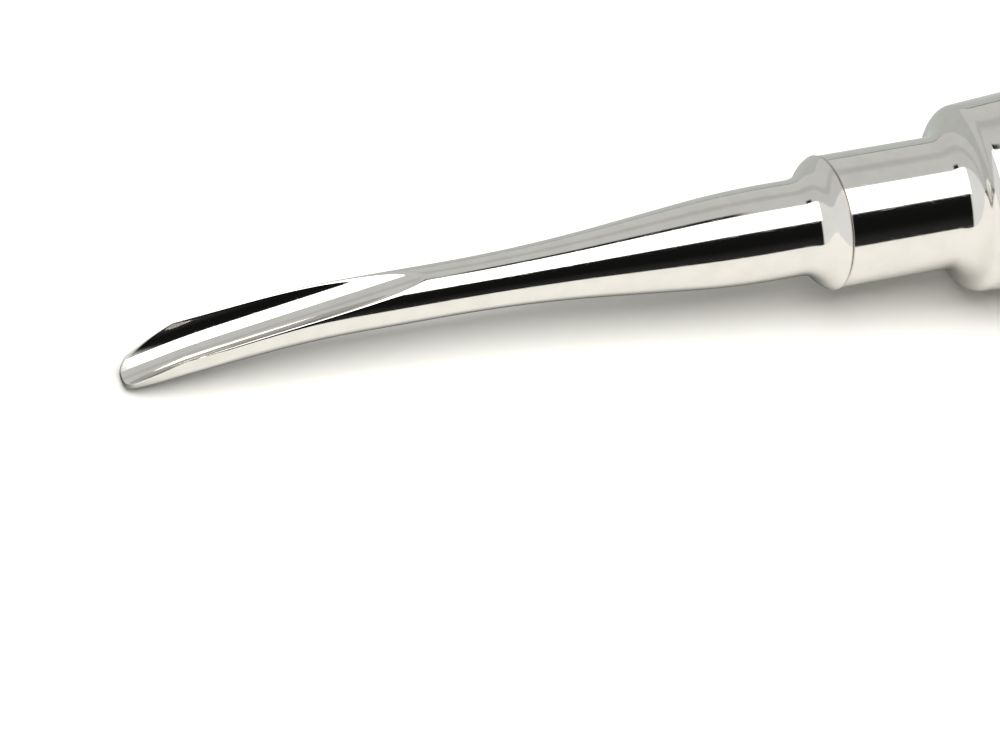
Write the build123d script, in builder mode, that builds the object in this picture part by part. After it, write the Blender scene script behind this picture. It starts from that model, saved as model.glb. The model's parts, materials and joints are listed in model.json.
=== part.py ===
"""A straight dental elevator of polished stainless steel, lying on a table as it comes to rest.

It is two pieces. The working end is a half round gouge blade on a slim waist, a shank that swells to a
parallel root and a rounded flange, with a tang behind it. The tang is brazed into the bore of a pear
shaped handle, and a fine seam shows where the flange meets the handle's neck.

The instrument is drawn along its own axis, measured from the tip of the blade. That axis rises gently
from the tip, because the blade's heel and one flat of the handle lie on the table together. The origin
is on the table, under the middle of the instrument, with the tip towards -X and the concave face up.
"""

from build123d import *
from math import atan2, cos, radians, sin, tan
import os

# Lengths along the instrument's axis, one after the other from the tip
blade_length = 18.0
waist_length = 6.2
swell_length = 13.0
root_length = 3.9
flange_length = 2.2
neck_length = 7.0
shoulder_length = 2.3
grip_length = 82.3

# Blade: a rod, bent down towards the tip, with a round groove along its upper side
blade_radius = 1.57
rod_joint_length = 0.8
bend_from_runout = 4.0
bend_radius = 41.0
bend_angle = 8.3
groove_radius = 1.77
groove_angle = 12.5
groove_dive_length = 6.0
tip_thickness = 0.2
nose_half_width = 1.12
nose_corner_radius = 0.9
nose_taper_length = 4.6
rim_radius = 0.1

# Shank and flange: the blends run along the swell from where it would meet the waist and the root
waist_blend_length = 5.0
root_blend_length = 2.8
root_radius = 2.85
flange_radius = 4.0
flange_fullness = 0.7
seam_chamfer = 0.08

# Tang and the bore that it is brazed into
tang_radius = 2.5
tang_length = 20.0
tang_chamfer = 0.5
braze_clearance = 0.02
bore_spare_length = 1.0

# Handle: a neck, a round shoulder and a grip that widens to its belly at the rear
neck_radius = 3.96
shoulder_radius = 5.65
shoulder_fullness = 0.62
flare_angle = 4.6
belly_radius = 9.5
flat_count = 8
flat_depth = 0.35

# Where each stretch of the instrument begins; the blade's rod ends in the waist
rod_end = blade_length + rod_joint_length
swell_at = blade_length + waist_length
root_at = swell_at + swell_length
flange_at = root_at + root_length
seam_at = flange_at + flange_length
shoulder_at = seam_at + neck_length
grip_at = shoulder_at + shoulder_length
overall_length = grip_at + grip_length

# The blends are arcs as long on each side as their lengths say
swell_angle = atan2(root_radius - blade_radius, swell_length)
waist_blend_radius = waist_blend_length / tan(swell_angle / 2)
root_blend_radius = root_blend_length / tan(swell_angle / 2)

# Rounded edges are limited by the wall that they stand on
nose_round = min(nose_corner_radius, 0.9 * nose_half_width)
rim_fillet = min(rim_radius, tip_thickness / 2)

# The heel is the lowest point of the blade, under the tip
bend_at = blade_length - bend_from_runout
bend_end = bend_at - bend_radius * sin(radians(bend_angle))
bend_drop = bend_radius * (1 - cos(radians(bend_angle)))
heel_depth = bend_drop + bend_end * tan(radians(bend_angle)) + blade_radius / cos(radians(bend_angle))

# Behind the belly, the handle ends in half a sphere
belly_at = overall_length - belly_radius

# The heel and the lower flat touch the table, so the table's slope to the axis is that of the flats
flat_rise = (belly_radius - flat_depth - heel_depth) / belly_at
tilt = atan2(flat_rise, 1)
axis_direction = Vector(cos(tilt), 0, sin(tilt))
upright = Vector(-sin(tilt), 0, cos(tilt))
heel_x = heel_depth * sin(tilt)
end_x = belly_at * cos(tilt) + belly_radius
tip = Vector(-(heel_x + end_x) / 2, 0, heel_depth * cos(tilt))

# The side plane has the instrument's axis as its x, and the top plane looks down on the blade
side = Plane(origin=tip, x_dir=axis_direction, z_dir=(0, -1, 0))
top = Plane(origin=tip, x_dir=axis_direction, z_dir=upright)
instrument_axis = Axis(tip, axis_direction)

os.makedirs("parts", exist_ok=True)

with BuildPart() as blade_and_shank:
    # Shank, root, flange and tang, turned about the axis
    with BuildSketch(side):
        with BuildLine():
            shank = FilletPolyline(
                (rod_end, blade_radius),
                (swell_at, blade_radius),
                (root_at, root_radius),
                (flange_at, root_radius),
                radius=[waist_blend_radius, root_blend_radius],
            )
            flange = Bezier(
                shank @ 1,
                (flange_at + flange_fullness * flange_length, root_radius),
                (seam_at - flange_fullness * flange_length, flange_radius),
                (seam_at - seam_chamfer, flange_radius),
            )
            Polyline(
                flange @ 1,
                (seam_at, flange_radius - seam_chamfer),
                (seam_at, tang_radius),
                (seam_at + tang_length - tang_chamfer, tang_radius),
                (seam_at + tang_length, tang_radius - tang_chamfer),
                (seam_at + tang_length, 0),
                (rod_end, 0),
                shank @ 0,
            )
        make_face()
    revolve(axis=instrument_axis)

    # The blade's rod, swept from the waist along a bend and past the tip
    with BuildLine(side) as rod_line:
        waist_line = Line((rod_end, 0), (bend_at, 0))
        bend = JernArc(waist_line @ 1, (-1, 0), bend_radius, bend_angle)
        PolarLine(bend @ 1, bend_end / cos(radians(bend_angle)) + blade_radius, direction=bend % 1)
    with BuildSketch(Plane(origin=rod_line.line @ 0, x_dir=(0, 1, 0), z_dir=rod_line.line % 0)):
        Circle(blade_radius)
    sweep()

    # The nose, cut as seen from above: tapered sides and a blunt end with round corners
    with BuildSketch(top):
        with Locations((nose_taper_length / 2 - 2 * blade_radius, 0)):
            Rectangle(nose_taper_length + 4 * blade_radius, 4 * blade_radius)
        with BuildLine():
            nose = FilletPolyline(
                (nose_taper_length, blade_radius),
                (0, nose_half_width),
                (0, -nose_half_width),
                (nose_taper_length, -blade_radius),
                radius=nose_round,
            )
            Line(nose @ 1, nose @ 0)
        make_face(mode=Mode.SUBTRACT)
    extrude(amount=2 * heel_depth, both=True, mode=Mode.SUBTRACT)

    # The concave face: a round cutter follows the groove's floor, which slopes down from the top of
    # the rod, then dives in an arc to leave the tip its thickness
    groove_slope = tan(radians(groove_angle))
    with BuildLine(side):
        slope = Line(
            (rod_end, blade_radius + (rod_end - blade_length) * groove_slope),
            (groove_dive_length, blade_radius - (blade_length - groove_dive_length) * groove_slope),
        )
        dive = TangentArc(
            slope @ 1,
            side.from_local_coords((0, tip_thickness - heel_depth)),
            tangent=slope % 1,
        )
        PolarLine(dive @ 1, blade_radius, direction=dive % 1)
    with BuildSketch(Plane(origin=slope @ 0, x_dir=(0, 1, 0), z_dir=slope % 0)):
        with Locations((0, -groove_radius)):
            Circle(groove_radius)
    sweep(mode=Mode.SUBTRACT)

    # The rim all round the concave face is polished round
    fillet(blade_and_shank.edges(Select.NEW), radius=rim_fillet)

blade_and_shank.part.label = "blade_and_shank"
export_step(blade_and_shank.part, "parts/blade_and_shank.step")

with BuildPart() as handle:
    # Neck, shoulder, grip and round end, turned about the same axis round the tang's bore
    bore_radius = tang_radius + braze_clearance
    bore_end = seam_at + tang_length + bore_spare_length
    with BuildSketch(side):
        with BuildLine():
            neck = Polyline(
                (seam_at, bore_radius),
                (seam_at, neck_radius - seam_chamfer),
                (seam_at + seam_chamfer, neck_radius),
                (shoulder_at, neck_radius),
            )
            shoulder = Bezier(
                neck @ 1,
                (shoulder_at + shoulder_fullness * shoulder_length, neck_radius),
                (grip_at - shoulder_fullness * shoulder_length, shoulder_radius),
                (grip_at, shoulder_radius),
            )
            flank = Spline(
                shoulder @ 1,
                (belly_at, belly_radius),
                tangents=[(1, tan(radians(flare_angle))), (1, 0)],
            )
            JernArc(flank @ 1, (1, 0), belly_radius, -90)
            Polyline(
                (overall_length, 0),
                (bore_end, 0),
                (bore_end, bore_radius),
                (seam_at, bore_radius),
            )
        make_face()
    revolve(axis=instrument_axis)

    # Flats round the grip: they fade out towards the shoulder and behind the belly
    flat_sides = [
        Plane(
            origin=tip,
            x_dir=axis_direction,
            z_dir=Vector(0, -1, 0).rotate(instrument_axis, 360 / flat_count * turn),
        )
        for turn in range(flat_count)
    ]
    with BuildSketch(*flat_sides):
        Polygon(
            (shoulder_at, heel_depth + shoulder_at * flat_rise),
            (overall_length, heel_depth + overall_length * flat_rise),
            (overall_length, 2 * belly_radius),
            (shoulder_at, 2 * belly_radius),
            align=None,
        )
    extrude(amount=belly_radius, both=True, mode=Mode.SUBTRACT)

handle.part.label = "handle"
export_step(handle.part, "parts/handle.step")
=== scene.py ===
"""A straight dental elevator of mirror polished stainless steel, lying on a pale table.

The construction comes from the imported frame. This script dresses it: the working end and the handle are
made again as fine, smoothly shaded meshes of the same form, so that the polish mirrors the studio in clean
bands, and both get a procedural steel. Sizes are in millimetres along the instrument's own axis, measured
from the tip of the blade, angles are in degrees unless a docstring says radians, and each finished piece is
placed in the frame in metres.
"""

import json
import logging
import math
from dataclasses import dataclass
from enum import Enum

import bmesh
import bpy
import numpy as np
from mathutils import Matrix, Vector
from mathutils.geometry import interpolate_bezier


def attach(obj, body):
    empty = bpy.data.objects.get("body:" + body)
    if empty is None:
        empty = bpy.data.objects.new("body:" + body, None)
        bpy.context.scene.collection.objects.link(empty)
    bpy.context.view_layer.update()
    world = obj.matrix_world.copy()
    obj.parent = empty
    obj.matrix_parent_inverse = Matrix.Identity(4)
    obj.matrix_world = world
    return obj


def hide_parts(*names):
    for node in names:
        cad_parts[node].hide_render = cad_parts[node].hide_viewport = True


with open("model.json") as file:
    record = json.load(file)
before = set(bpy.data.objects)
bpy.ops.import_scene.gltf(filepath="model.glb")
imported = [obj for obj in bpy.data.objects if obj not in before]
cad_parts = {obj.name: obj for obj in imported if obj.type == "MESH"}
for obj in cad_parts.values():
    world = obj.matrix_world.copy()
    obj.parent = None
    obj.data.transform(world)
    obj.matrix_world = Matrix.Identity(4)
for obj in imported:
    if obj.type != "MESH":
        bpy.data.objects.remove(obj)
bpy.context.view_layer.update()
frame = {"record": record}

log = logging.getLogger("elevator")

MILLIMETRE = 0.001
IMAGE_WIDTH = 1000
IMAGE_HEIGHT = 750
NOISE_MIDDLE = 0.5

Point = tuple[float, float]
Span = tuple[float, float]
Triple = tuple[float, float, float]
Colour = tuple[float, float, float, float]


class Body(Enum):
    """The bodies that the pieces ride on."""

    ROOT = "root"


class Slot(Enum):
    """The material slots of the record."""

    BLADE = "blade_steel"
    HANDLE = "handle_steel"


class Node(Enum):
    """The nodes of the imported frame."""

    BLADE_AND_SHANK = "blade_and_shank"
    HANDLE = "handle"


class Mirror(Enum):
    """How a row of values goes on past its ends, as a mirror image that keeps or turns its sign."""

    EVEN = "even"
    ODD = "odd"


def smooth_step(value: float, start: float, end: float) -> float:
    """Rises smoothly from 0 at start to 1 at end.

    Args:
        value: The number that is looked at.
        start: Where the rise begins.
        end: Where the rise ends.

    Returns:
        A share from 0 to 1.
    """
    share = min(max((value - start) / (end - start), 0.0), 1.0)
    return share * share * (3 - 2 * share)


def soft_least(first: float, second: float, softness: float) -> float:
    """The lesser of two numbers, with a soft change from one to the other."""
    return min(first, second) - softness * math.log1p(math.exp(-abs(first - second) / softness))


def averaged(values: np.ndarray, reach: int, mirror: Mirror) -> np.ndarray:
    """Averages each value with its neighbours, twice over.

    Args:
        values: A row of values.
        reach: How many neighbours count on each side.
        mirror: How the row goes on past its ends.

    Returns:
        The row with its corners rounded.
    """
    window = np.full(2 * reach + 1, 1 / (2 * reach + 1))
    for _ in range(2):
        padded = np.pad(values, reach, mode="reflect", reflect_type=mirror.value)
        values = np.convolve(padded, window, "valid")
    return values


def add_object(data: bpy.types.ID) -> bpy.types.Object:
    """Adds an object to the scene, with the name of its data.

    Args:
        data: The object's mesh or camera.

    Returns:
        The object.
    """
    made = bpy.data.objects.new(data.name, data)
    bpy.context.scene.collection.objects.link(made)
    return made


@dataclass(frozen=True)
class Stations:
    """Lengths of the instrument's stretches, and where each of them begins."""

    blade: float = 18.0
    waist: float = 6.2
    swell: float = 13.0
    root: float = 3.9
    flange: float = 2.2
    neck: float = 7.0
    shoulder: float = 2.3
    grip: float = 82.3

    @property
    def swell_at(self) -> float:
        """Where the waist ends and the shank begins to swell."""
        return self.blade + self.waist

    @property
    def root_at(self) -> float:
        """Where the swell meets the parallel root."""
        return self.swell_at + self.swell

    @property
    def flange_at(self) -> float:
        """Where the root ends and the flange flares."""
        return self.root_at + self.root

    @property
    def seam_at(self) -> float:
        """Where the flange meets the handle."""
        return self.flange_at + self.flange

    @property
    def shoulder_at(self) -> float:
        """Where the neck ends and the shoulder flares."""
        return self.seam_at + self.neck

    @property
    def grip_at(self) -> float:
        """Where the shoulder ends and the grip begins."""
        return self.shoulder_at + self.shoulder

    @property
    def overall(self) -> float:
        """The instrument's whole length."""
        return self.grip_at + self.grip


@dataclass(frozen=True)
class InstrumentAxis:
    """The instrument's axis in the frame: its tip in metres, and its direction towards the handle."""

    tip: Vector
    direction: Vector

    @classmethod
    def from_neck_mount(cls, record: dict, stations: Stations, seam_chamfer: float) -> "InstrumentAxis":
        """Finds the axis from the mount at the middle of the neck.

        Args:
            record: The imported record.
            stations: The instrument's stretches.
            seam_chamfer: The chamfer that the neck begins with.

        Returns:
            The axis.
        """
        neck = next(mount for mount in record["mounts"] if mount["name"] == "neck")
        direction = -Vector(neck["axis"]).normalized()
        middle = (stations.seam_at + seam_chamfer + stations.shoulder_at) / 2
        return cls(Vector(neck["pos_m"]) - direction * middle * MILLIMETRE, direction)

    @property
    def across(self) -> Vector:
        """Level, square to the axis, and away from the camera."""
        return Vector((0.0, 1.0, 0.0))

    @property
    def upright(self) -> Vector:
        """Square to the axis, and up."""
        return self.direction.cross(self.across)

    @property
    def tilt(self) -> float:
        """The axis's rise above the table, in radians."""
        return math.asin(self.direction.z)

    def matrix(self) -> Matrix:
        """The placing of the instrument's millimetres in the frame."""
        turn = Matrix((self.direction, self.across, self.upright)).transposed().to_4x4()
        return Matrix.Translation(self.tip) @ turn @ Matrix.Scale(MILLIMETRE, 4)

    def at(self, station: float) -> Vector:
        """The axis's point at a station, in the frame's metres."""
        return self.tip + self.direction * station * MILLIMETRE


@dataclass
class TurnedProfile:
    """The outline of a turned piece, as points of station and radius."""

    points: list[Point]
    row_length: float = 0.3

    def line_to(self, station: float, radius: float) -> None:
        """Draws a straight stretch, in rows of about row_length.

        Args:
            station: The end's distance from the tip.
            radius: The end's distance from the axis.
        """
        start_station, start_radius = self.points[-1]
        length = math.hypot(station - start_station, radius - start_radius)
        rows = max(1, round(length / self.row_length))
        stations = np.linspace(start_station, station, rows + 1)
        radii = np.linspace(start_radius, radius, rows + 1)
        self.points.extend(zip(stations[1:], radii[1:]))

    def jump_to(self, station: float, radius: float) -> None:
        """Draws a straight stretch in one row."""
        self.points.append((station, radius))

    def curve_to(self, first_handle: Point, last_handle: Point, end: Point, rows: int) -> None:
        """Draws a cubic curve.

        Args:
            first_handle: The handle of the last point so far.
            last_handle: The handle of the curve's end.
            end: The curve's end.
            rows: How many rows of faces it gives.
        """
        corners = [Vector((*corner, 0.0)) for corner in (self.points[-1], first_handle, last_handle, end)]
        curve = interpolate_bezier(*corners, rows + 1)
        self.points.extend((point.x, point.y) for point in curve[1:])

    def spin(self, mesh: bmesh.types.BMesh, segments: int) -> None:
        """Turns the outline about the axis.

        Args:
            mesh: The mesh that it is added to.
            segments: Faces round the piece.
        """
        verts = [mesh.verts.new((station, 0.0, radius)) for station, radius in self.points]
        edges = [mesh.edges.new(pair) for pair in zip(verts, verts[1:])]
        bmesh.ops.spin(
            mesh,
            geom=verts + edges,
            cent=(0, 0, 0),
            axis=(1, 0, 0),
            angle=math.tau,
            steps=segments,
            use_merge=True,
            use_duplicate=False,
        )


@dataclass
class SteelPiece:
    """A piece of the instrument: its mesh is made by form(), then placed and dressed."""

    stations: Stations
    node: Node
    slot: Slot
    seam_chamfer: float = 0.08
    merge_distance: float = 1e-4
    sharp_angle: float = 32.0

    def form(self, mesh: bmesh.types.BMesh) -> None:
        """Makes the piece in millimetres along the axis."""
        raise NotImplementedError

    def build(self, axis: InstrumentAxis, finish: "PolishedSteel") -> bpy.types.Object:
        """Args:
            axis: The instrument's axis.
            finish: The steel's finish.

        Returns:
            The piece's object.
        """
        mesh = bmesh.new()
        self.form(mesh)
        bmesh.ops.remove_doubles(mesh, verts=mesh.verts, dist=self.merge_distance)
        bmesh.ops.recalc_face_normals(mesh, faces=mesh.faces)
        for face in mesh.faces:
            face.smooth = True
        limit = math.radians(self.sharp_angle)
        for edge in mesh.edges:
            edge.smooth = edge.calc_face_angle(0.0) < limit
        bmesh.ops.transform(mesh, matrix=axis.matrix(), verts=mesh.verts)
        data = bpy.data.meshes.new(f"{self.node.value}_polished")
        mesh.to_mesh(data)
        mesh.free()
        piece = add_object(data)
        data.materials.append(finish.material(axis))
        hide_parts(self.node.value)
        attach(piece, Body.ROOT.value)
        log.info("%s: %d faces", piece.name, len(data.polygons))
        return piece


@dataclass(frozen=True)
class HalfSection:
    """Half of the blade's outline at a station, from the middle of its underside to the middle of its top."""

    lengths: np.ndarray
    widths: np.ndarray
    heights: np.ndarray
    rim_length: float

    @classmethod
    def through(cls, widths: np.ndarray, heights: np.ndarray, rim: int) -> "HalfSection":
        """Measures an outline.

        Args:
            widths: The points' distances from the blade's middle plane.
            heights: The points' heights above the axis.
            rim: The number of the point that counts as its rim.

        Returns:
            The outline, with the lengths along it.
        """
        lengths = np.concatenate(([0.0], np.cumsum(np.hypot(np.diff(widths), np.diff(heights)))))
        return cls(lengths, widths, heights, float(lengths[rim]))

    @property
    def length(self) -> float:
        """The outline's whole length."""
        return float(self.lengths[-1])

    def rounded(self, rounding: float, steps: int) -> "HalfSection":
        """Rounds the rim.

        Args:
            rounding: The length of the outline that each average takes in.
            steps: How many even steps the outline is divided into.

        Returns:
            The rounded outline, which keeps the lengths along the sharp one.
        """
        even = np.linspace(0.0, self.length, steps + 1)
        reach = max(1, round(rounding * steps / self.length / 2))
        widths = averaged(np.interp(even, self.lengths, self.widths), reach, Mirror.ODD)
        heights = averaged(np.interp(even, self.lengths, self.heights), reach, Mirror.EVEN)
        return HalfSection(even, widths, heights, self.rim_length)


@dataclass(frozen=True)
class Gouge:
    """The blade's shape: a rod bent down to the tip, a round groove along its top, and a narrow nose.

    The nose's sides are parabolas that widen until they leave the rod, and its end is blunt, with round
    corners and an edge that is polished round. The groove runs out of the rod's top and dives at the tip.
    """

    stations: Stations
    rod_radius: float = 1.57
    bend_from_runout: float = 4.0
    bend_radius: float = 41.0
    bend_angle: float = 8.3
    groove_radius: float = 1.52
    groove_angle: float = 12.5
    groove_dive_length: float = 6.0
    tip_thickness: float = 0.2
    nose_start: float = 0.45
    nose_side_width: float = 1.5
    nose_side_curve: float = 0.0333
    nose_side_length: float = 4.1
    nose_softness: float = 0.05
    nose_corner_radius: float = 0.9
    edge_radius: float = 0.1
    least_rim_angle: float = 14.0
    circle_steps: int = 1800
    groove_points: int = 600

    @property
    def bend_at(self) -> float:
        """Where the rod begins to bend down towards the tip."""
        return self.stations.blade - self.bend_from_runout

    @property
    def bend_end(self) -> float:
        """Where the bend ends, and the rod goes on straight to the tip."""
        return self.bend_at - self.bend_radius * math.sin(math.radians(self.bend_angle))

    @property
    def heel_depth(self) -> float:
        """How far below the axis the rod's underside lies under the tip."""
        height, slope = self.rod(0.0)
        return self.rod_radius / math.cos(slope) - height

    @property
    def blunt_half_width(self) -> float:
        """Half of the nose's blunt end, without its round corners.

        Returns:
            The half width.
        """
        taper = math.atan(2 * self.nose_side_curve * self.nose_side_length)
        end_width = self.nose_side_width - self.nose_side_curve * self.nose_side_length**2
        return end_width - self.nose_corner_radius * math.tan(math.pi / 4 - taper / 2)

    def rod(self, station: float) -> tuple[float, float]:
        """The rod's height and slope at a station.

        Args:
            station: The distance from the tip.

        Returns:
            The centre's height and the slope's angle in radians.
        """
        along_bend = max(self.bend_at - max(station, self.bend_end), 0.0)
        slope = math.asin(along_bend / self.bend_radius)
        beyond_bend = max(self.bend_end - station, 0.0)
        return -self.bend_radius * (1 - math.cos(slope)) - beyond_bend * math.tan(slope), slope

    def groove(self, station: float) -> tuple[float, float]:
        """The height and slope of the groove's floor at a station.

        Args:
            station: The distance from the tip.

        Returns:
            The floor's height and the slope's angle in radians.
        """
        slope = math.radians(self.groove_angle)
        run = self.stations.blade - max(station, self.groove_dive_length)
        height = self.rod_radius - run * math.tan(slope)
        if station >= self.groove_dive_length:
            return height, slope
        drop = height + self.heel_depth - self.tip_thickness
        chord_angle = math.atan2(drop, self.groove_dive_length)
        dive_radius = math.hypot(self.groove_dive_length, drop) / (2 * math.sin(chord_angle - slope))
        dive_slope = math.asin(math.sin(slope) + (self.groove_dive_length - station) / dive_radius)
        return height - dive_radius * (math.cos(slope) - math.cos(dive_slope)), dive_slope

    def rod_underside(self, station: float, widths: np.ndarray) -> np.ndarray:
        """The heights of the rod's underside.

        Args:
            station: The distance from the tip.
            widths: Distances from the blade's middle plane.

        Returns:
            A height for each distance.
        """
        height, slope = self.rod(station)
        return height - self.rod_radius / math.cos(slope) * np.sqrt(1 - (widths / self.rod_radius) ** 2)

    def groove_surface(self, station: float, widths: np.ndarray) -> np.ndarray:
        """The heights of the groove's surface. Past its sides, they are those of its circle's centre.

        Args:
            station: The distance from the tip.
            widths: Distances from the blade's middle plane.

        Returns:
            A height for each distance.
        """
        floor, slope = self.groove(station)
        share = np.minimum(widths / self.groove_radius, 1.0)
        return floor + self.groove_radius / math.cos(slope) * (1 - np.sqrt(1 - share**2))

    def half_width(self, station: float, radius: float) -> float:
        """Half of the blade's width as seen from above.

        Args:
            station: The distance from the tip.
            radius: The rod's radius there.

        Returns:
            The half width of the nose, or of the rod behind it.
        """
        behind = max(station - self.nose_start, 0.0)
        ahead = self.nose_side_length - behind
        side = self.nose_side_width - math.copysign(self.nose_side_curve * ahead**2, ahead)
        if behind < self.nose_corner_radius:
            corner = math.sqrt(self.nose_corner_radius**2 - (self.nose_corner_radius - behind) ** 2)
            side = min(side, self.blunt_half_width + corner)
        return soft_least(radius, side, self.nose_softness)

    def half_section(self, station: float, radius: float) -> HalfSection:
        """Half of the section: the rod's circle, cut by the nose's side and by the groove.

        Args:
            station: The distance from the tip.
            radius: The rod's radius there.

        Returns:
            The outline, with a sharp rim.
        """
        height, slope = self.rod(station)
        angles = np.linspace(0.0, math.pi, self.circle_steps + 1)
        widths = np.minimum(radius * np.sin(angles), self.half_width(station, radius))
        heights = height - radius / math.cos(slope) * np.cos(angles)
        # The rim counts as this far from the top at least, also where the groove has run out
        rim = round(self.circle_steps * (1 - self.least_rim_angle / 180))
        cut = np.flatnonzero(heights > self.groove_surface(station, widths))
        if len(cut):
            first_cut = int(cut[0])
            rim = min(rim, first_cut)
            groove_widths = widths[first_cut] * np.linspace(1.0, 0.0, self.groove_points)
            groove_heights = self.groove_surface(station, groove_widths)
            widths = np.concatenate((widths[:first_cut], groove_widths))
            heights = np.concatenate((heights[:first_cut], groove_heights))
        return HalfSection.through(widths, heights, rim)

    def thinned(self, station: float, widths: np.ndarray, heights: np.ndarray) -> np.ndarray:
        """Draws the heights together where the nose's edge is polished round.

        Args:
            station: The distance from the tip.
            widths: The outline's distances from the blade's middle plane.
            heights: The outline's heights.

        Returns:
            The heights, nearer to the middle of the blade's thickness.
        """
        behind = (station - self.nose_start) / self.edge_radius
        if behind >= 1.0:
            return heights
        middle = (self.groove_surface(station, widths) + self.rod_underside(station, widths)) / 2
        return middle + (heights - middle) * math.sqrt(1 - (1 - behind) ** 2)


@dataclass
class WorkingEnd(SteelPiece):
    """The half round gouge blade, its waist, the swelling shank, the root, the flange and the tang."""

    waist_blend: float = 5.0
    root_blend: float = 2.8
    root_radius: float = 2.85
    flange_radius: float = 4.03
    flange_foot_reach: float = 1.4
    flange_lip_reach: float = 1.0
    flange_lip_drop: float = 0.42
    tang_radius: float = 2.5
    tang_length: float = 20.0
    tang_chamfer: float = 0.5
    rim_rounding: float = 0.26
    outer_zone_share: float = 0.3
    inner_zone_share: float = 0.45
    segments: int = 128
    rim_points: int = 10
    outer_points: int = 34
    outline_steps: int = 900
    edge_rings: int = 6
    corner_rings: int = 16
    ring_spacing: float = 0.1
    shank_rows: int = 60
    flange_rows: int = 40

    @property
    def gouge(self) -> Gouge:
        """The blade's shape."""
        return Gouge(self.stations)

    def radius(self, station: float) -> float:
        """The rod's and the shank's radius, with the shank's two blends as parabolas.

        Args:
            station: The distance from the tip.

        Returns:
            The radius.
        """
        rod_radius = self.gouge.rod_radius
        slope = (self.root_radius - rod_radius) / self.stations.swell
        past_swell = station - self.stations.swell_at
        if past_swell < self.waist_blend:
            share = max(past_swell + self.waist_blend, 0.0) / (2 * self.waist_blend)
            return rod_radius + slope * self.waist_blend * share**2
        before_root = self.stations.root_at - station
        if before_root < self.root_blend:
            share = max(before_root + self.root_blend, 0.0) / (2 * self.root_blend)
            return self.root_radius - slope * self.root_blend * share**2
        return rod_radius + slope * past_swell

    def ring_places(self, section: HalfSection, evenness: float) -> np.ndarray:
        """Where a ring's points lie on half of the outline: close together round the rim.

        Args:
            section: Half of the outline.
            evenness: How far the points have gone over to even spacing, from 0 to 1.

        Returns:
            The lengths along the outline up to each point.
        """
        half_ring = self.segments // 2
        spacing = section.length / half_ring
        inner_length = section.length - section.rim_length
        zone = min(
            self.rim_rounding,
            self.outer_zone_share * section.rim_length,
            self.inner_zone_share * inner_length,
        )
        zone += (spacing * self.rim_points / 2 - zone) * evenness
        even_middle = spacing * (self.outer_points + self.rim_points / 2)
        middle = section.rim_length + (even_middle - section.rim_length) * evenness
        inner_points = half_ring - self.outer_points - self.rim_points
        return np.concatenate((
            np.linspace(0.0, middle - zone, self.outer_points, endpoint=False),
            np.linspace(middle - zone, middle + zone, self.rim_points, endpoint=False),
            np.linspace(middle + zone, section.length, inner_points + 1),
        ))

    def ring(self, station: float) -> list[Vector]:
        """The closed ring of points round the blade at a station.

        Args:
            station: The distance from the tip.

        Returns:
            As many points as there are segments, from the underside's middle all the way round.
        """
        evenness = smooth_step(station, self.stations.blade, self.stations.swell_at)
        sharp = self.gouge.half_section(station, self.radius(station))
        section = sharp.rounded(self.rim_rounding * (1 - evenness), self.outline_steps)
        places = self.ring_places(section, evenness)
        widths = np.interp(places, section.lengths, section.widths)
        heights = self.gouge.thinned(station, widths, np.interp(places, section.lengths, section.heights))
        far_half = [Vector((station, width, height)) for width, height in zip(widths, heights)]
        near_half = [Vector((point.x, -point.y, point.z)) for point in far_half[-2:0:-1]]
        return far_half + near_half

    def ring_stations(self) -> list[float]:
        """Where the blade's rings lie: close together round the edge and the corners, then evenly spaced.

        Returns:
            The rings' distances from the tip.
        """
        gouge = self.gouge
        quarter = math.pi / 2
        corner_start = math.acos(1 - gouge.edge_radius / gouge.nose_corner_radius)
        edge = gouge.edge_radius * (1 - np.cos(np.linspace(0.0, quarter, self.edge_rings, endpoint=False)))
        corner_angles = np.linspace(corner_start, quarter, self.corner_rings, endpoint=False)
        corner = gouge.nose_corner_radius * (1 - np.cos(corner_angles))
        length = self.stations.swell_at - gouge.nose_start
        rings = round((length - gouge.nose_corner_radius) / self.ring_spacing)
        rest = np.linspace(gouge.nose_corner_radius, length, rings + 1)
        return (gouge.nose_start + np.concatenate((edge, corner, rest))).tolist()

    def form_blade(self, mesh: bmesh.types.BMesh) -> None:
        """Lays a grid round the blade, ring by ring.

        Args:
            mesh: The mesh that it is added to.
        """
        rings = [self.ring(station) for station in self.ring_stations()]
        rows = len(rings) - 1
        # The grid's last column lies on its first one, and build() merges them
        grid = bmesh.ops.create_grid(mesh, x_segments=rows, y_segments=self.segments, size=1.0)
        for vert in grid["verts"]:
            row = round((vert.co.x + 1) / 2 * rows)
            turn = round((vert.co.y + 1) / 2 * self.segments) % self.segments
            vert.co = rings[row][turn]

    def form(self, mesh: bmesh.types.BMesh) -> None:
        """Makes the blade, then turns the shank, the flange and the tang.

        Args:
            mesh: The mesh that they are added to.
        """
        at = self.stations
        tang_end = at.seam_at + self.tang_length
        self.form_blade(mesh)
        profile = TurnedProfile([(at.swell_at, self.radius(at.swell_at))])
        for station in np.linspace(at.swell_at, at.flange_at, self.shank_rows + 1)[1:]:
            profile.jump_to(station, self.radius(station))
        profile.curve_to(
            (at.flange_at + self.flange_foot_reach, self.root_radius),
            (at.seam_at - self.flange_lip_reach, self.flange_radius - self.flange_lip_drop),
            (at.seam_at - self.seam_chamfer, self.flange_radius),
            self.flange_rows,
        )
        profile.jump_to(at.seam_at, self.flange_radius - self.seam_chamfer)
        profile.jump_to(at.seam_at, self.tang_radius)
        profile.line_to(tang_end - self.tang_chamfer, self.tang_radius)
        profile.jump_to(tang_end, self.tang_radius - self.tang_chamfer)
        profile.jump_to(tang_end, 0.0)
        profile.spin(mesh, self.segments)


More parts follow.
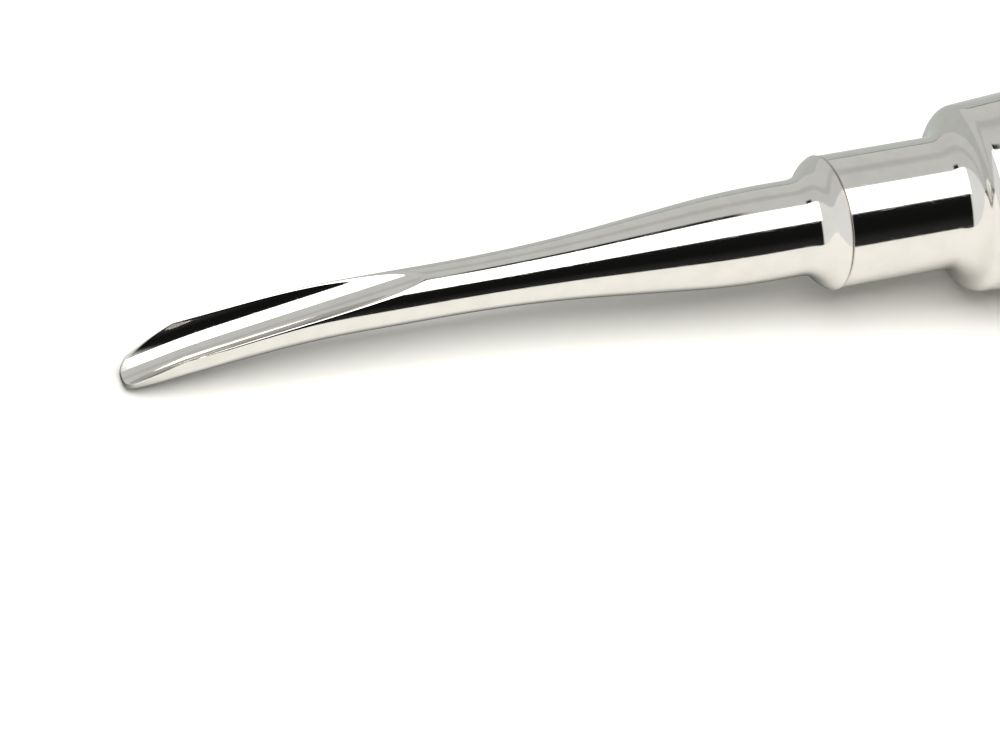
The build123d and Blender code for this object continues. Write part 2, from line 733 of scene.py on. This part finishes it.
@dataclass
class PearHandle(SteelPiece):
    """The handle's neck, round shoulder and grip with soft flats, round the tang's blind bore."""

    bore_radius: float = 2.52
    bore_length: float = 21.0
    neck_radius: float = 3.96
    shoulder_radius: float = 5.65
    shoulder_foot_reach: float = 1.75
    shoulder_lip_reach: float = 0.95
    flare_angle: float = 4.6
    belly_radius: float = 9.5
    flat_count: int = 8
    flat_depth: float = 0.35
    flat_softness: float = 0.04
    segments: int = 192
    shoulder_rows: int = 44
    flank_rows: int = 150
    end_rows: int = 48

    @property
    def belly_at(self) -> float:
        """Where the grip is thickest, and its round end begins."""
        return self.stations.overall - self.belly_radius

    def flat_distance(self, station: float) -> float:
        """How far from the axis the flats lie, in line with the heel under the blade's tip.

        Args:
            station: The distance from the tip.

        Returns:
            The flats' distance from the axis.
        """
        heel_depth = Gouge(self.stations).heel_depth
        rise = (self.belly_radius - self.flat_depth - heel_depth) / self.belly_at
        return heel_depth + station * rise

    def press_flats(self, mesh: bmesh.types.BMesh) -> None:
        """Moves the grip's surface in to the flats, with soft edges between flats and round parts.

        Args:
            mesh: The turned handle.
        """
        share = math.tau / self.flat_count
        for vert in mesh.verts:
            station, across, up = vert.co
            radius = math.hypot(across, up)
            # The neck, the bore and the end's pole stay as they are
            if station < self.stations.shoulder_at or radius < self.bore_radius:
                continue
            angle = (math.atan2(across, up) + share / 2) % share - share / 2
            flat = self.flat_distance(station) / math.cos(angle)
            pressed = soft_least(radius, flat, self.flat_softness)
            vert.co.y *= pressed / radius
            vert.co.z *= pressed / radius

    def form(self, mesh: bmesh.types.BMesh) -> None:
        """Turns the handle round its bore, then presses the flats.

        Args:
            mesh: The mesh that it is added to.
        """
        at = self.stations
        bore_end = at.seam_at + self.bore_length
        flare = math.radians(self.flare_angle)
        lip_radius = self.shoulder_radius - self.shoulder_lip_reach * math.tan(flare)
        flank_reach = math.hypot(self.belly_at - at.grip_at, self.belly_radius - self.shoulder_radius) / 3
        flank_radius = self.shoulder_radius + flank_reach * math.sin(flare)
        profile = TurnedProfile([(bore_end, 0.0), (bore_end, self.bore_radius)])
        profile.line_to(at.seam_at, self.bore_radius)
        profile.jump_to(at.seam_at, self.neck_radius - self.seam_chamfer)
        profile.jump_to(at.seam_at + self.seam_chamfer, self.neck_radius)
        profile.line_to(at.shoulder_at, self.neck_radius)
        profile.curve_to(
            (at.shoulder_at + self.shoulder_foot_reach, self.neck_radius),
            (at.grip_at - self.shoulder_lip_reach, lip_radius),
            (at.grip_at, self.shoulder_radius),
            self.shoulder_rows,
        )
        profile.curve_to(
            (at.grip_at + flank_reach * math.cos(flare), flank_radius),
            (self.belly_at - flank_reach, self.belly_radius),
            (self.belly_at, self.belly_radius),
            self.flank_rows,
        )
        for angle in np.linspace(0.0, math.pi / 2, self.end_rows + 1)[1:]:
            profile.jump_to(
                self.belly_at + self.belly_radius * math.sin(angle),
                self.belly_radius * math.cos(angle),
            )
        profile.spin(mesh, self.segments)
        self.press_flats(mesh)


@dataclass(frozen=True)
class Wire:
    """A number on a shader's wire, which adds Math nodes when it is reckoned with."""

    shader: "Shader"
    socket: bpy.types.NodeSocket

    def __add__(self, other: "Number") -> "Wire":
        """Adds a number."""
        return self.shader.math("ADD", self, other)

    def __sub__(self, other: "Number") -> "Wire":
        """Takes a number away."""
        return self.shader.math("SUBTRACT", self, other)

    def __rsub__(self, other: "Number") -> "Wire":
        """Is taken from a number."""
        return self.shader.math("SUBTRACT", other, self)

    def __mul__(self, other: "Number") -> "Wire":
        """Multiplies by a number."""
        return self.shader.math("MULTIPLY", self, other)

    def __abs__(self) -> "Wire":
        """Drops the sign."""
        return self.shader.math("ABSOLUTE", self)

    __radd__ = __add__
    __rmul__ = __mul__


Number = Wire | float


@dataclass(frozen=True)
class Grain:
    """Soft noise: how often it turns in one unit of its coordinates, each way, and its detail."""

    turns: Triple
    detail: float


@dataclass(frozen=True)
class Band:
    """A range of a value, which fades in round its start and out round its end, over twice the fade."""

    start: float
    end: float
    fade: float


class Shader:
    """A node tree that is written as Python expressions."""

    def __init__(self, tree: bpy.types.NodeTree) -> None:
        """Empties the tree."""
        self.tree = tree
        tree.nodes.clear()

    def node(self, kind: str, settings: dict | None = None, inputs: dict | None = None) -> bpy.types.Node:
        """Adds a node.

        Args:
            kind: The node's type.
            settings: Its settings, which are set first.
            inputs: Values, wires or sockets for its inputs, by name or number.

        Returns:
            The node.
        """
        made = self.tree.nodes.new(kind)
        for name, value in (settings or {}).items():
            setattr(made, name, value)
        for name, value in (inputs or {}).items():
            self.feed(made.inputs[name], value)
        return made

    def feed(self, socket: bpy.types.NodeSocket, value: object) -> None:
        """Links an input to what feeds it, or sets its value.

        Args:
            socket: The input.
            value: A wire, another node's output, or a plain value.
        """
        source = value.socket if isinstance(value, Wire) else value
        if isinstance(source, bpy.types.NodeSocket):
            self.tree.links.new(source, socket)
        else:
            socket.default_value = source

    def math(self, operation: str, first: Number, second: Number = 0.0) -> Wire:
        """Adds a Math node."""
        made = self.node("ShaderNodeMath", {"operation": operation}, {0: first, 1: second})
        return Wire(self, made.outputs[0])

    def part(self, vector: bpy.types.NodeSocket, letter: str) -> Wire:
        """A vector's X, Y or Z."""
        made = self.node("ShaderNodeSeparateXYZ", inputs={0: vector})
        return Wire(self, made.outputs[letter])

    def dot(self, vector: bpy.types.NodeSocket, direction: Vector) -> Wire:
        """A vector's reach along a direction.

        Args:
            vector: The vector.
            direction: The direction, with a length of 1.

        Returns:
            The reach.
        """
        settings = {"operation": "DOT_PRODUCT"}
        made = self.node("ShaderNodeVectorMath", settings, {0: vector, 1: tuple(direction)})
        return Wire(self, made.outputs["Value"])

    def light_path(self, kind: str) -> Wire:
        """Is 1 for one kind of ray, and 0 for the others."""
        return Wire(self, self.node("ShaderNodeLightPath").outputs[kind])

    def noise(self, vector: bpy.types.NodeSocket, grain: Grain) -> Wire:
        """Soft noise.

        Args:
            vector: The place that it is looked up at.
            grain: How often it turns, and its detail.

        Returns:
            A value from 0 to 1, mostly near the middle.
        """
        turned = self.node("ShaderNodeVectorMath", {"operation": "MULTIPLY"}, {0: vector, 1: grain.turns})
        inputs = {"Vector": turned.outputs["Vector"], "Scale": 1.0, "Detail": grain.detail}
        return Wire(self, self.node("ShaderNodeTexNoise", inputs=inputs).outputs[0])

    def step(self, value: Number, start: float, end: float) -> Wire:
        """Rises smoothly from 0 to 1, or falls where start is the larger.

        Args:
            value: The number that is looked at.
            start: Where it is 0.
            end: Where it is 1.

        Returns:
            A share from 0 to 1.
        """
        inputs = {"Value": value, "From Min": start, "From Max": end}
        made = self.node("ShaderNodeMapRange", {"interpolation_type": "SMOOTHSTEP"}, inputs)
        return Wire(self, made.outputs[0])

    def rise(self, value: Number, place: float, fade: float) -> Wire:
        """Rises from 0 to 1 round a place."""
        return self.step(value, place - fade, place + fade)

    def fall(self, value: Number, place: float, fade: float) -> Wire:
        """Falls from 1 to 0 round a place."""
        return self.step(value, place + fade, place - fade)

    def within(self, value: Number, band: Band) -> Wire:
        """Is 1 in the band and 0 outside it."""
        return self.rise(value, band.start, band.fade) * self.fall(value, band.end, band.fade)

    def mix(
        self,
        share: Number,
        first: Colour | bpy.types.NodeSocket,
        second: Colour | bpy.types.NodeSocket,
    ) -> bpy.types.NodeSocket:
        """Mixes two colours."""
        made = self.node("ShaderNodeMix", {"data_type": "RGBA"}, {0: share, 6: first, 7: second})
        return made.outputs[2]


@dataclass(frozen=True)
class PolishedSteel:
    """Mirror polished stainless steel, with what the polishing wheel left in it, and a stain at the seam.

    The depths are shares of bump_depth, which is in millimetres.
    """

    name: str
    seam_at: float
    bright: Colour = (0.71, 0.69, 0.66, 1.0)
    dull: Colour = (0.675, 0.655, 0.622, 1.0)
    clouds: Grain = Grain((0.9, 0.9, 0.9), 5.0)
    dull_from: float = 0.35
    dull_to: float = 0.7
    smoothest: float = 0.055
    haze: float = 0.025
    bump_depth: float = 0.0005
    lengthwise_lines: Grain = Grain((0.12, 5.0, 5.0), 4.0)
    lengthwise_depth: float = 0.35
    wheel_lines: Grain = Grain((5.0, 0.5, 0.5), 3.0)
    wheel_depth: float = 0.25
    waves: Grain = Grain((0.28, 0.28, 0.28), 1.0)
    wave_depth: float = 8.0
    hairs: Grain = Grain((0.5, 2.2, 1.3), 1.0)
    hair_width: float = 0.006
    hair_depth: float = 0.6
    hair_roughness: float = 0.03
    stain: Colour = (0.20, 0.15, 0.11, 1.0)
    stain_strength: float = 0.5
    stain_roughness: float = 0.2
    stain_core: float = 0.02
    stain_reach: float = 0.16

    def material(self, axis: InstrumentAxis) -> bpy.types.Material:
        """Makes the material.

        Args:
            axis: The axis that the polish follows.

        Returns:
            The material.
        """
        made = bpy.data.materials.new(self.name)
        made.use_nodes = True
        shader = Shader(made.node_tree)
        place = self.along_axis(shader, axis)
        cloud = shader.noise(place, self.clouds)
        hair = shader.step(abs(shader.noise(place, self.hairs) - NOISE_MIDDLE), self.hair_width, 0.0)
        seam = shader.step(abs(shader.part(place, "X") - self.seam_at), self.stain_reach, self.stain_core)
        height = (
            shader.noise(place, self.lengthwise_lines) * self.lengthwise_depth
            + shader.noise(place, self.wheel_lines) * self.wheel_depth
            + shader.noise(place, self.waves) * self.wave_depth
            - hair * self.hair_depth
        )
        depth = self.bump_depth * MILLIMETRE
        bump = shader.node("ShaderNodeBump", inputs={"Strength": 1.0, "Distance": depth, "Height": height})
        steel = shader.mix(shader.step(cloud, self.dull_from, self.dull_to), self.bright, self.dull)
        roughness = (
            self.smoothest + cloud * self.haze + hair * self.hair_roughness + seam * self.stain_roughness
        )
        surface = shader.node(
            "ShaderNodeBsdfPrincipled",
            inputs={
                "Base Color": shader.mix(seam * self.stain_strength, steel, self.stain),
                "Metallic": 1.0,
                "Roughness": roughness,
                "Normal": bump.outputs["Normal"],
            },
        )
        shader.node("ShaderNodeOutputMaterial", inputs={"Surface": surface.outputs[0]})
        return made

    @staticmethod
    def along_axis(shader: Shader, axis: InstrumentAxis) -> bpy.types.NodeSocket:
        """The surface's place in millimetres, from the tip along the instrument's axis.

        Args:
            shader: The material's node tree.
            axis: The instrument's axis.

        Returns:
            The place, with the station as its X.
        """
        turned_tip = Matrix.Rotation(axis.tilt, 3, "Y") @ axis.tip
        mapping = shader.node(
            "ShaderNodeMapping",
            {"vector_type": "POINT"},
            {
                "Vector": shader.node("ShaderNodeTexCoord").outputs["Object"],
                "Location": tuple(-turned_tip / MILLIMETRE),
                "Rotation": (0.0, axis.tilt, 0.0),
                "Scale": (1 / MILLIMETRE, 1 / MILLIMETRE, 1 / MILLIMETRE),
            },
        )
        return mapping.outputs[0]


@dataclass(frozen=True)
class Table:
    """The pale table that the instrument lies on, and what the polish sees of it behind the instrument.

    The two ranges are distances behind the instrument's middle, in millimetres. For glossy rays the table is
    replaced by a painted reflection glow. It takes over across the first range, and across the second it goes
    from a dim painted shadow under the instrument to a brighter painted reflection of the rear.
    """

    half_size: float = 3.0
    grid: int = 4
    colour: Colour = (0.90, 0.88, 0.84, 1.0)
    shade: Colour = (0.885, 0.865, 0.825, 1.0)
    mottle: Grain = Grain((40.0, 40.0, 40.0), 4.0)
    roughness: float = 0.85
    specular: float = 0.1
    # Painted reflection: the glow that glossy rays see in place of the table, dim under the instrument as a
    # painted shadow and brighter behind it
    painted_reflection_colour: Colour = (0.96, 1.0, 0.97, 1.0)
    painted_reflection_range: Span = (-3.5, 0.5)
    painted_rear_range: Span = (4.0, 14.0)
    painted_under_shadow: float = 0.14
    painted_rear_reflection: float = 0.62

    def material(self) -> bpy.types.Material:
        """Makes the material.

        Returns:
            The material.
        """
        made = bpy.data.materials.new("pale_table")
        made.use_nodes = True
        shader = Shader(made.node_tree)
        place = shader.node("ShaderNodeTexCoord").outputs["Object"]
        surface = shader.node(
            "ShaderNodeBsdfPrincipled",
            inputs={
                "Base Color": shader.mix(shader.noise(place, self.mottle), self.colour, self.shade),
                "Roughness": self.roughness,
                "Specular IOR Level": self.specular,
            },
        )
        # Glossy rays see a painted reflection here instead of the lit table: an emission that is dim under
        # the instrument as a painted shadow, and brighter behind it as a painted reflection of the rear
        depth = shader.part(place, "Y") * (1 / MILLIMETRE)
        rear = shader.step(depth, *self.painted_rear_range)
        glow = self.painted_under_shadow + rear * (self.painted_rear_reflection - self.painted_under_shadow)
        painted_reflection_emission = shader.node("ShaderNodeEmission", inputs={"Color": self.painted_reflection_colour, "Strength": glow})
        seen = shader.light_path("Is Glossy Ray") * shader.step(depth, *self.painted_reflection_range)
        mixed = shader.node(
            "ShaderNodeMixShader", inputs={0: seen, 1: surface.outputs[0], 2: painted_reflection_emission.outputs[0]}
        )
        shader.node("ShaderNodeOutputMaterial", inputs={"Surface": mixed.outputs[0]})
        return made

    def build(self) -> bpy.types.Object:
        """Makes the table's top.

        Returns:
            The table.
        """
        mesh = bmesh.new()
        bmesh.ops.create_grid(mesh, x_segments=self.grid, y_segments=self.grid, size=self.half_size)
        data = bpy.data.meshes.new("table_top")
        mesh.to_mesh(data)
        mesh.free()
        data.materials.append(self.material())
        table = add_object(data)
        return table


@dataclass(frozen=True)
class Studio:
    """The room that the polish mirrors.

    In front it is dark, with a faint glow at the horizon. A long softbox hangs overhead, then come a short
    dark gap and a pale backdrop with a faint stripe. Past the instrument's tip, the front is pale too.

    Angles run from the camera's horizon over the top to the rear horizon, in degrees, seen along the
    instrument. Places along it are the cosine of the ray's angle to the axis, negative towards the tip.
    """

    softbox: Band = Band(57.0, 100.5, 2.0)
    softbox_end: float = -0.37
    softbox_light: float = 3.6
    gap: Band = Band(100.5, 109.0, 2.0)
    gap_reach: Band = Band(0.05, 0.3, 0.02)
    backdrop_light: float = 0.72
    stripe: Band = Band(132.0, 146.0, 5.0)
    stripe_depth: float = 0.16
    front_end: float = -0.30
    front_light: float = 0.008
    pale_front_light: float = 0.98
    end_fade: float = 0.07
    glow_core: float = 2.0
    glow_reach: float = 26.0
    glow_light: float = 0.022
    background_light: float = 1.1
    tint: Colour = (0.985, 1.0, 0.985, 1.0)

    def build(self, axis: InstrumentAxis) -> None:
        """Makes the world.

        Args:
            axis: The instrument's axis, which the softbox lies along.
        """
        world = bpy.data.worlds.new("studio")
        world.use_nodes = True
        bpy.context.scene.world = world
        shader = Shader(world.node_tree)
        ray = shader.node("ShaderNodeTexCoord").outputs["Generated"]
        along = shader.dot(ray, axis.direction)
        radians = shader.math("ARCTAN2", shader.dot(ray, axis.upright), shader.dot(ray, -axis.across))
        turn = radians * math.degrees(1.0)
        softbox = shader.within(turn, self.softbox) * shader.rise(along, self.softbox_end, self.end_fade)
        gap = shader.within(turn, self.gap) * shader.within(along, self.gap_reach)
        stripe = shader.within(turn, self.stripe) * self.stripe_depth
        behind = shader.rise(turn, self.softbox.end, self.softbox.fade)
        in_front = shader.fall(turn, self.softbox.end, self.softbox.fade)
        past_tip = shader.fall(along, self.front_end, self.end_fade)
        light = (
            softbox * self.softbox_light
            + behind * (1 - gap) * (1 - stripe) * self.backdrop_light
            + in_front * past_tip * self.pale_front_light
            + shader.step(turn, self.glow_reach, self.glow_core) * self.glow_light
            + self.front_light
        )
        seen = shader.light_path("Is Camera Ray")
        strength = shader.node("ShaderNodeMix", inputs={0: seen, 2: light, 3: self.background_light})
        background = shader.node(
            "ShaderNodeBackground", inputs={"Color": self.tint, "Strength": strength.outputs[0]}
        )
        shader.node("ShaderNodeOutputWorld", inputs={"Surface": background.outputs[0]})


@dataclass(frozen=True)
class PhotoCamera:
    """The camera at the photograph's viewing angle.

    The looked-at station of the axis is seen at the pixel, from a height above the table's plane along the
    instrument and turned towards the tip, and the picture is rolled until the axis runs as it does there.
    """

    station: float = 29.0
    pixel: Point = (600.0, 262.0)
    height_angle: float = 52.0
    turn_angle: float = 18.5
    roll_angle: float = 10.405
    focal_pixels: float = 4000.0
    pixels_per_mm: float = 17.3
    sensor_width: float = 36.0
    nearest: float = 5.0

    def build(self, axis: InstrumentAxis) -> bpy.types.Object:
        """Makes the scene's camera.

        Args:
            axis: The instrument's axis.

        Returns:
            The camera.
        """
        height = math.radians(self.height_angle)
        turn = math.radians(self.turn_angle)
        roll = math.radians(self.roll_angle)
        back = (
            -math.sin(turn) * axis.direction
            - math.cos(turn) * math.cos(height) * axis.across
            + math.cos(turn) * math.sin(height) * axis.upright
        )
        along = (axis.direction - axis.direction.dot(back) * back).normalized()
        side = back.cross(along)
        right = math.cos(roll) * along - math.sin(roll) * side
        up = math.sin(roll) * along + math.cos(roll) * side
        distance = self.focal_pixels / self.pixels_per_mm * MILLIMETRE
        offset = (self.pixel[0] - IMAGE_WIDTH / 2) * right + (IMAGE_HEIGHT / 2 - self.pixel[1]) * up
        place = axis.at(self.station) + (back - offset / self.focal_pixels) * distance
        data = bpy.data.cameras.new("photo_camera")
        data.sensor_width = self.sensor_width
        data.lens = self.focal_pixels / IMAGE_WIDTH * self.sensor_width
        data.clip_start = self.nearest * MILLIMETRE
        camera = add_object(data)
        camera.matrix_world = Matrix.Translation(place) @ Matrix((right, up, back)).transposed().to_4x4()
        bpy.context.scene.camera = camera
        return camera


def main() -> None:
    """Builds the instrument, the table, the light and the camera."""
    logging.basicConfig(level=logging.INFO)
    stations = Stations()
    working_end = WorkingEnd(stations, Node.BLADE_AND_SHANK, Slot.BLADE)
    handle = PearHandle(stations, Node.HANDLE, Slot.HANDLE)
    axis = InstrumentAxis.from_neck_mount(frame["record"], stations, handle.seam_chamfer)
    log.info("axis rises %.2f degrees", math.degrees(axis.tilt))
    working_end.build(axis, PolishedSteel("polished_blade_steel", stations.seam_at))
    handle.build(axis, PolishedSteel("polished_handle_steel", stations.seam_at))
    Table().build()
    Studio().build(axis)
    PhotoCamera().build(axis)
    bpy.context.scene.view_settings.view_transform = "Standard"


if __name__ == "__main__":
    main()
